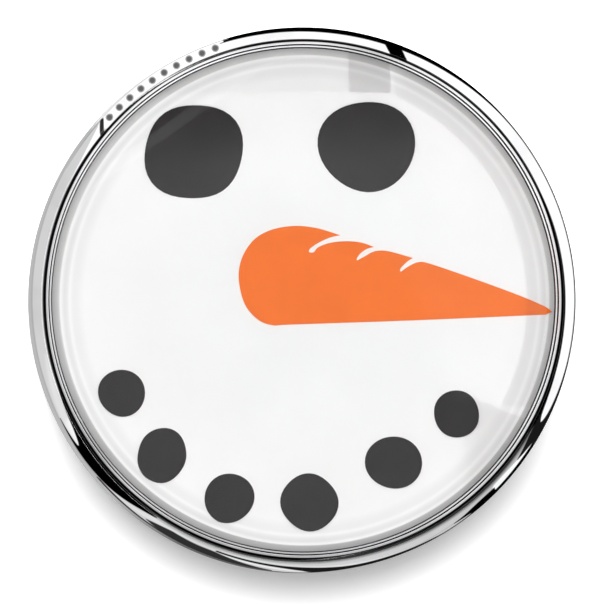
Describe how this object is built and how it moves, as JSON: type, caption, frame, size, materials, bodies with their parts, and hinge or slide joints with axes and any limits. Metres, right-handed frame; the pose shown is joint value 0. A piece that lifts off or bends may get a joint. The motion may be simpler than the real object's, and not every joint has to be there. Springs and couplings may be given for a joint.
{
  "type": "snap button charm",
  "caption": "Round snap button charm for jewellery: chrome bezel, clear glass dome over a snowman face on white card, ball stud on the back.",
  "frame": {"origin": "centre of the snap stud's flat end, on the charm's axis", "axes": "-Y is the way the face looks and +Y the way the stud points; +X is the picture's right as seen from in front, +Z is the picture's top"},
  "size_m": [0.02, 0.0087, 0.02],
  "materials": {
    "bright_chrome": "polished",
    "stud_nickel": "satin plated",
    "rivet_brass": "bright",
    "clear_glass": "polished",
    "clear_glue": "clear",
    "white_card": "coated",
    "white_plastic": "moulded",
    "coal_ink": "printed",
    "carrot_ink": "printed"
  },
  "bodies": {
    "root": {"bezel_shell": "bright_chrome", "retaining_ring": "bright_chrome", "glass_dome": "clear_glass", "clear_adhesive": "clear_glue", "print_disc": "white_card", "coal_eye_left": "coal_ink", "coal_eye_right": "coal_ink", "carrot_nose": "carrot_ink", "mouth_coal_1": "coal_ink", "mouth_coal_2": "coal_ink", "mouth_coal_3": "coal_ink", "mouth_coal_4": "coal_ink", "mouth_coal_5": "coal_ink", "mouth_coal_6": "coal_ink", "spacer_ring": "white_plastic", "stud_rivet": "rivet_brass", "snap_stud": "stud_nickel"}
  },
  "joints": []
}
